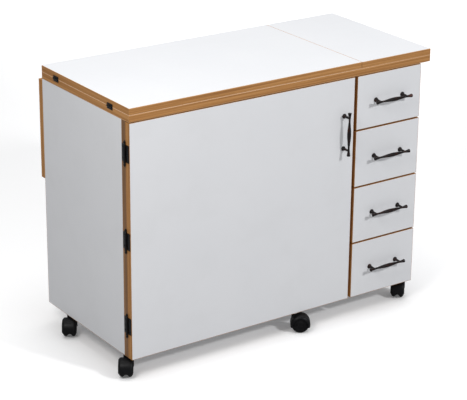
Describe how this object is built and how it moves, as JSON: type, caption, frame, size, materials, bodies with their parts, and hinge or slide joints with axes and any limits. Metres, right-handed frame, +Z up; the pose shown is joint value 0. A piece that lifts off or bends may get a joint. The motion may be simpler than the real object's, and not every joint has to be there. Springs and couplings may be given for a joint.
{
  "type": "sewing table",
  "caption": "Folding sewing cabinet on casters: fold-over top leaf, drop rear leaf, gate door on its own caster, drawers and a machine lift under a cut-out.",
  "frame": {"origin": "on the floor, under the middle of the bounding box of the folded table", "axes": "+X to the right along the table's length, +Y to the rear, +Z up; the door and drawers face -Y"},
  "size_m": [1.0408, 0.5102, 0.7753],
  "materials": {
    "panel_white": "white melamine laminate on particle board, satin",
    "oak_edge": "oak edge band, clear satin finish",
    "drawer_box_birch": "pale birch, thin clear coat",
    "hinge_black": "black enamel, semi-gloss",
    "pull_bronze": "dark oil-rubbed bronze, worn edges",
    "slide_steel": "zinc-plated sheet steel",
    "lift_black": "black powder coat",
    "rod_chrome": "hard chrome",
    "catch_plastic": "brown moulded plastic",
    "caster_nylon": "black moulded nylon",
    "wheel_black": "black moulded nylon tread, light scuffs"
  },
  "bodies": {
    "cabinet": {"left_side_panel": "panel_white", "right_side_panel": "panel_white", "bottom_panel": "panel_white", "centre_divider": "panel_white", "back_panel": "panel_white", "hinge_stile": "oak_edge", "fixed_top": "panel_white", "right_top_panel": "panel_white", "door_hinge_frame_leaves": "hinge_black", "door_hinge_pins": "hinge_black", "top_hinge_lower_leaves": "hinge_black", "top_hinge_pins": "hinge_black", "rear_hinge_fixed_leaves": "hinge_black", "rear_bracket_wall_arms": "slide_steel", "drawer_cabinet_slides": "slide_steel", "door_catch": "catch_plastic", "lift_rails": "lift_black", "gas_spring_cylinders": "lift_black", "caster_sockets": "slide_steel"},
    "top_leaf": {"top_leaf_panel": "panel_white", "top_hinge_upper_leaves": "hinge_black"},
    "door": {"door_panel": "panel_white", "door_hinge_door_leaves": "hinge_black", "door_pull": "pull_bronze", "door_strike_plate": "slide_steel", "door_caster_socket": "slide_steel"},
    "rear_leaf": {"rear_leaf_panel": "panel_white", "rear_hinge_leaf_plates": "hinge_black", "rear_bracket_leaf_arms": "slide_steel"},
    "leaf_braces": {"leaf_braces": "slide_steel"},
    "lift": {"lift_platform": "panel_white", "lift_carriages": "lift_black", "gas_spring_rods": "rod_chrome"},
    "drawer_1": {"drawer_1_front": "panel_white", "drawer_1_box": "drawer_box_birch", "drawer_1_pull": "pull_bronze", "drawer_1_slides": "slide_steel"},
    "drawer_2": {"drawer_2_front": "panel_white", "drawer_2_box": "drawer_box_birch", "drawer_2_pull": "pull_bronze", "drawer_2_slides": "slide_steel"},
    "drawer_3": {"drawer_3_front": "panel_white", "drawer_3_box": "drawer_box_birch", "drawer_3_pull": "pull_bronze", "drawer_3_slides": "slide_steel"},
    "drawer_4": {"drawer_4_front": "panel_white", "drawer_4_box": "drawer_box_birch", "drawer_4_pull": "pull_bronze", "drawer_4_slides": "slide_steel"},
    "caster_front_left": {"caster_front_left_hood": "caster_nylon"},
    "caster_front_left_wheelset": {"caster_front_left_wheels": "wheel_black"},
    "caster_front_right": {"caster_front_right_hood": "caster_nylon"},
    "caster_front_right_wheelset": {"caster_front_right_wheels": "wheel_black"},
    "caster_rear_left": {"caster_rear_left_hood": "caster_nylon"},
    "caster_rear_left_wheelset": {"caster_rear_left_wheels": "wheel_black"},
    "caster_rear_right": {"caster_rear_right_hood": "caster_nylon"},
    "caster_rear_right_wheelset": {"caster_rear_right_wheels": "wheel_black"},
    "caster_door": {"caster_door_hood": "caster_nylon"},
    "caster_door_wheelset": {"caster_door_wheels": "wheel_black"}
  },
  "joints": [
    {"name": "top_leaf_hinge", "type": "hinge", "parent": "cabinet", "child": "top_leaf", "pos_m": [-0.49173, 0.00562, 0.75615], "axis": [0, -1, 0], "range_deg": [0, 180]},
    {"name": "door_hinge", "type": "hinge", "parent": "cabinet", "child": "door", "pos_m": [-0.49333, -0.20513, 0.4025], "axis": [0, 0, -1], "range_deg": [0, 180]},
    {"name": "rear_leaf_hinge", "type": "hinge", "parent": "cabinet", "child": "rear_leaf", "pos_m": [-0.00063, 0.23362, 0.7345], "axis": [1, 0, 0], "range_deg": [0, 90]},
    {"name": "leaf_brace_pivot", "type": "hinge", "parent": "cabinet", "child": "leaf_braces", "pos_m": [-0.25963, 0.22262, 0.62043], "axis": [1, 0, 0], "range_deg": [0, 135]},
    {"name": "machine_lift_slide", "type": "slide", "parent": "cabinet", "child": "lift", "axis": [0, 0, 1], "range_m": [0, 0.31]},
    {"name": "drawer_1_slide", "type": "slide", "parent": "cabinet", "child": "drawer_1", "axis": [0, -1, 0], "range_m": [0, 0.27]},
    {"name": "drawer_2_slide", "type": "slide", "parent": "cabinet", "child": "drawer_2", "axis": [0, -1, 0], "range_m": [0, 0.27]},
    {"name": "drawer_3_slide", "type": "slide", "parent": "cabinet", "child": "drawer_3", "axis": [0, -1, 0], "range_m": [0, 0.27]},
    {"name": "drawer_4_slide", "type": "slide", "parent": "cabinet", "child": "drawer_4", "axis": [0, -1, 0], "range_m": [0, 0.27]},
    {"name": "caster_front_left_swivel", "type": "hinge", "parent": "cabinet", "child": "caster_front_left", "pos_m": [-0.48013, -0.17738, 0.06], "axis": [0, 0, 1], "continuous": true},
    {"name": "caster_front_left_roll", "type": "hinge", "parent": "caster_front_left", "child": "caster_front_left_wheelset", "pos_m": [-0.49019, -0.1923, 0.025], "axis": [0.829, -0.5592, 0], "continuous": true},
    {"name": "caster_front_right_swivel", "type": "hinge", "parent": "cabinet", "child": "caster_front_right", "pos_m": [0.47887, -0.17738, 0.06], "axis": [0, 0, 1], "continuous": true},
    {"name": "caster_front_right_roll", "type": "hinge", "parent": "caster_front_right", "child": "caster_front_right_wheelset", "pos_m": [0.46683, -0.19075, 0.025], "axis": [0.7431, -0.6691, 0], "continuous": true},
    {"name": "caster_rear_left_swivel", "type": "hinge", "parent": "cabinet", "child": "caster_rear_left", "pos_m": [-0.48013, 0.13062, 0.06], "axis": [0, 0, 1], "continuous": true},
    {"name": "caster_rear_left_roll", "type": "hinge", "parent": "caster_rear_left", "child": "caster_rear_left_wheelset", "pos_m": [-0.49019, 0.1157, 0.025], "axis": [0.829, -0.5592, 0], "continuous": true},
    {"name": "caster_rear_right_swivel", "type": "hinge", "parent": "cabinet", "child": "caster_rear_right", "pos_m": [0.47887, 0.13062, 0.06], "axis": [0, 0, 1], "continuous": true},
    {"name": "caster_rear_right_roll", "type": "hinge", "parent": "caster_rear_right", "child": "caster_rear_right_wheelset", "pos_m": [0.46256, 0.13823, 0.025], "axis": [-0.4226, -0.9063, 0], "continuous": true},
    {"name": "caster_door_swivel", "type": "hinge", "parent": "door", "child": "caster_door", "pos_m": [0.06137, -0.21488, 0.06], "axis": [0, 0, 1], "continuous": true},
    {"name": "caster_door_roll", "type": "hinge", "parent": "caster_door", "child": "caster_door_wheelset", "pos_m": [0.07629, -0.22494, 0.025], "axis": [0.5592, 0.829, 0], "continuous": true}
  ],
  "couplings": [
    {"joint": "leaf_brace_pivot", "follows": "rear_leaf_hinge", "ratio": 1.5}
  ]
}
